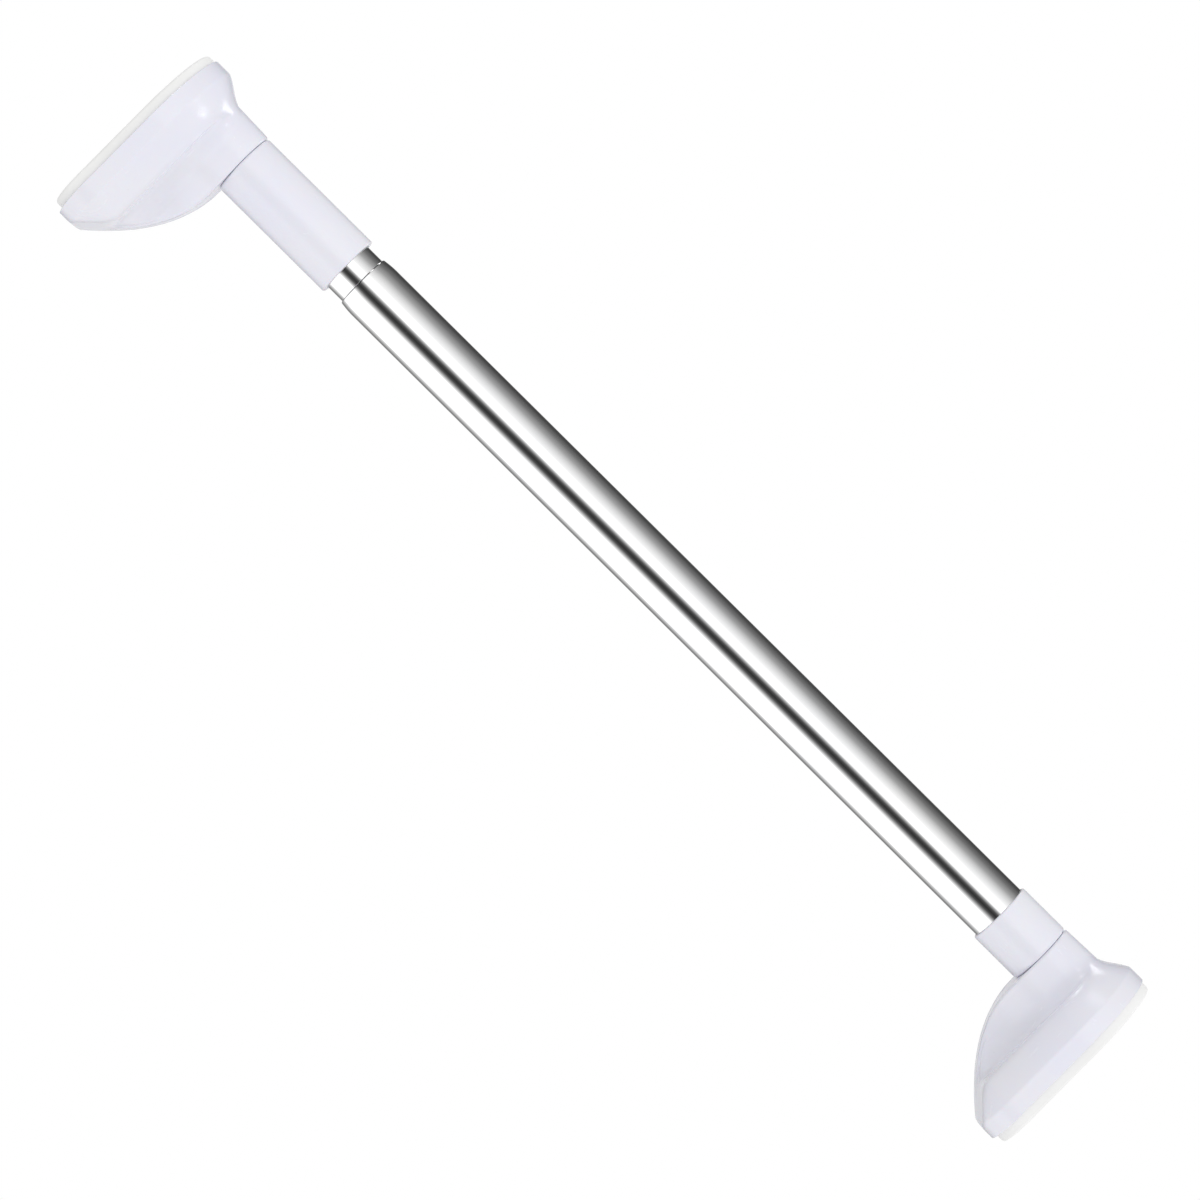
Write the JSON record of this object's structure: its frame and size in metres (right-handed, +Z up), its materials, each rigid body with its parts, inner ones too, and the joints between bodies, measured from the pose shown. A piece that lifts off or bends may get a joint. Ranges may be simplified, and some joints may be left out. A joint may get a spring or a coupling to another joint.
{
  "type": "window security bar",
  "caption": "Telescoping window security bar: chromed tubes with a twist lock, a screw-jack sleeve and swivelling shoe-shaped end feet with rubber pads that brace in a frame.",
  "frame": {"origin": "centre of the tube axis on the outer face of the fixed foot's rubber pad", "axes": "+X runs along the bar from the fixed foot to the jack foot and comes out of the jack foot's pad; +Z is up, and the long lobe of each foot hangs down along -Z; +Y is across the bar"},
  "size_m": [0.524, 0.068, 0.0861],
  "materials": {
    "white_abs": "glossy moulded ABS, white with a faint lavender cast",
    "grip_rubber": "matte off-white non-slip rubber",
    "chrome_tube": "bright chromed steel tube",
    "black_nylon": "satin black glass-filled nylon",
    "natural_acetal": "natural acetal, satin",
    "spring_steel": "dark spring steel",
    "zinc_steel": "bright zinc-plated steel",
    "brass": "machined brass"
  },
  "bodies": {
    "fixed_foot": {"fixed_foot_shell": "white_abs", "fixed_foot_base_plate": "black_nylon", "fixed_foot_rubber_pad": "grip_rubber", "fixed_foot_screw_1": "zinc_steel", "fixed_foot_screw_2": "zinc_steel", "fixed_foot_screw_3": "zinc_steel", "fixed_foot_screw_4": "zinc_steel", "fixed_foot_thrust_washer": "natural_acetal", "fixed_foot_retaining_clip": "spring_steel"},
    "outer_tube_body": {"outer_tube": "chrome_tube", "tube_end_collar": "white_abs", "outer_tube_end_plug": "white_abs", "outer_tube_plug_pin": "spring_steel"},
    "glide_ring_body": {"glide_ring": "natural_acetal"},
    "inner_tube_body": {"inner_tube": "chrome_tube", "lock_plug": "black_nylon", "lock_plug_pin": "spring_steel", "lock_cam_washer": "zinc_steel", "lock_cam_screw": "zinc_steel", "jack_plug": "black_nylon", "jack_plug_pin": "spring_steel", "jack_screw": "zinc_steel"},
    "lock_cam_body": {"lock_cam_ring": "natural_acetal"},
    "jack_carrier": {"jack_foot_thrust_washer": "natural_acetal"},
    "sleeve_body": {"jack_sleeve": "white_abs", "jack_nut": "brass"},
    "jack_foot": {"jack_foot_shell": "white_abs", "jack_foot_base_plate": "black_nylon", "jack_foot_rubber_pad": "grip_rubber", "jack_foot_screw_1": "zinc_steel", "jack_foot_screw_2": "zinc_steel", "jack_foot_screw_3": "zinc_steel", "jack_foot_screw_4": "zinc_steel", "jack_foot_retaining_clip": "spring_steel"}
  },
  "joints": [
    {"name": "rod_turn", "type": "hinge", "parent": "fixed_foot", "child": "outer_tube_body", "pos_m": [0.0404, 0, 0], "axis": [1, 0, 0], "continuous": true},
    {"name": "telescope", "type": "slide", "parent": "outer_tube_body", "child": "glide_ring_body", "axis": [1, 0, 0], "range_m": [-0.0078, 0.27]},
    {"name": "lock_twist", "type": "hinge", "parent": "glide_ring_body", "child": "inner_tube_body", "pos_m": [0.0942, 0, 0], "axis": [1, 0, 0], "range_deg": [-60, 60]},
    {"name": "cam_turn", "type": "hinge", "parent": "inner_tube_body", "child": "lock_cam_body", "pos_m": [0.0787, 0, 0.00045], "axis": [1, 0, 0], "range_deg": [-60, 60]},
    {"name": "jack_travel", "type": "slide", "parent": "inner_tube_body", "child": "jack_carrier", "axis": [1, 0, 0], "range_m": [0, 0.02]},
    {"name": "sleeve_turn", "type": "hinge", "parent": "jack_carrier", "child": "sleeve_body", "pos_m": [0.4836, 0, 0], "axis": [1, 0, 0], "range_deg": [0, 2405]},
    {"name": "jack_foot_turn", "type": "hinge", "parent": "jack_carrier", "child": "jack_foot", "pos_m": [0.484, 0, 0], "axis": [1, 0, 0], "continuous": true}
  ],
  "couplings": [
    {"joint": "sleeve_turn", "follows": "jack_travel", "rad_per_m": 2094.4},
    {"joint": "cam_turn", "follows": "lock_twist", "ratio": -1}
  ]
}
